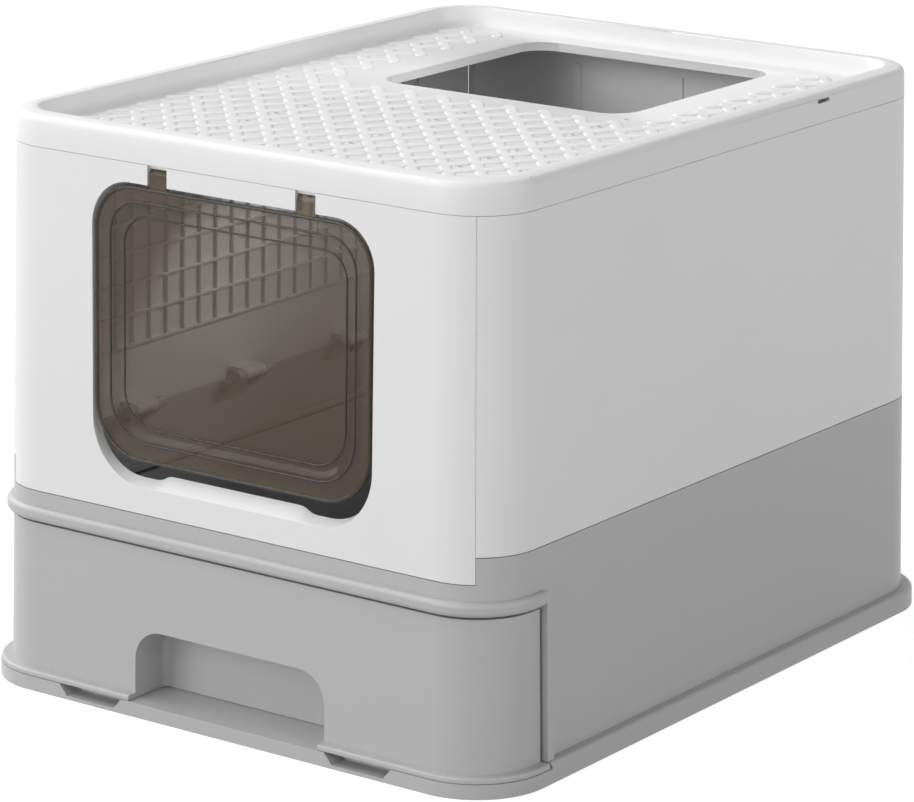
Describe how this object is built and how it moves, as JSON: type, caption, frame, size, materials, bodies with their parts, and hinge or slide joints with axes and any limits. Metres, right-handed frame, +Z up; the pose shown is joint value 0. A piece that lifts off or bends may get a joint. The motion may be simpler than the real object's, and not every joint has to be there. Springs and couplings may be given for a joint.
{
  "type": "top-entry litter box",
  "caption": "Foldable enclosed litter box with a smoked swing flap at the front, an exit hole in the lift-off lid and a pull-out litter drawer in the grey base.",
  "frame": {"origin": "centre of the footprint on the ground", "axes": "+X to the box's right seen from the front, +Y to the back, +Z up"},
  "size_m": [0.409, 0.5144, 0.365],
  "materials": {
    "grey_base": "satin moulded grey plastic",
    "grey_drawer": "satin moulded grey plastic",
    "white_panel": "satin moulded white plastic",
    "white_lid": "satin moulded white plastic with a quilted deck",
    "smoked_flap": "smoked brown clear plastic",
    "hinge_steel": "plain steel wire"
  },
  "bodies": {
    "base": {"bottom_tray": "grey_base", "base_frame": "grey_base", "front_hinge_pin_1": "hinge_steel", "front_hinge_pin_2": "hinge_steel", "back_hinge_pin_1": "hinge_steel", "back_hinge_pin_2": "hinge_steel", "left_hinge_pin_1": "hinge_steel", "left_hinge_pin_2": "hinge_steel", "left_hinge_pin_3": "hinge_steel", "right_hinge_pin_1": "hinge_steel", "right_hinge_pin_2": "hinge_steel", "right_hinge_pin_3": "hinge_steel"},
    "drawer": {"drawer": "grey_drawer"},
    "front": {"front_panel": "white_panel"},
    "back": {"back_panel": "white_panel"},
    "left": {"left_panel": "white_panel"},
    "right": {"right_panel": "white_panel"},
    "flap": {"flap_door": "smoked_flap"},
    "lid": {"lid": "white_lid"}
  },
  "joints": [
    {"name": "lid_lift", "type": "slide", "parent": "base", "child": "lid", "axis": [0, 0, 1], "range_m": [0, 0.25]},
    {"name": "drawer_slide", "type": "slide", "parent": "base", "child": "drawer", "axis": [0, -1, 0], "range_m": [0, 0.36]},
    {"name": "front_fold", "type": "hinge", "parent": "base", "child": "front", "pos_m": [0, -0.24002, 0.1318], "axis": [1, 0, 0], "range_deg": [-90, 0]},
    {"name": "back_fold", "type": "hinge", "parent": "base", "child": "back", "pos_m": [0, 0.24002, 0.1318], "axis": [-1, 0, 0], "range_deg": [-90, 0]},
    {"name": "left_fold", "type": "hinge", "parent": "base", "child": "left", "pos_m": [-0.17881, 0, 0.1482], "axis": [0, 1, 0], "range_deg": [0, 90]},
    {"name": "right_fold", "type": "hinge", "parent": "base", "child": "right", "pos_m": [0.17881, 0, 0.1482], "axis": [0, -1, 0], "range_deg": [0, 82]},
    {"name": "flap_swing", "type": "hinge", "parent": "front", "child": "flap", "pos_m": [0, -0.2393, 0.33946], "axis": [1, 0, 0], "range_deg": [-70, 75]}
  ]
}
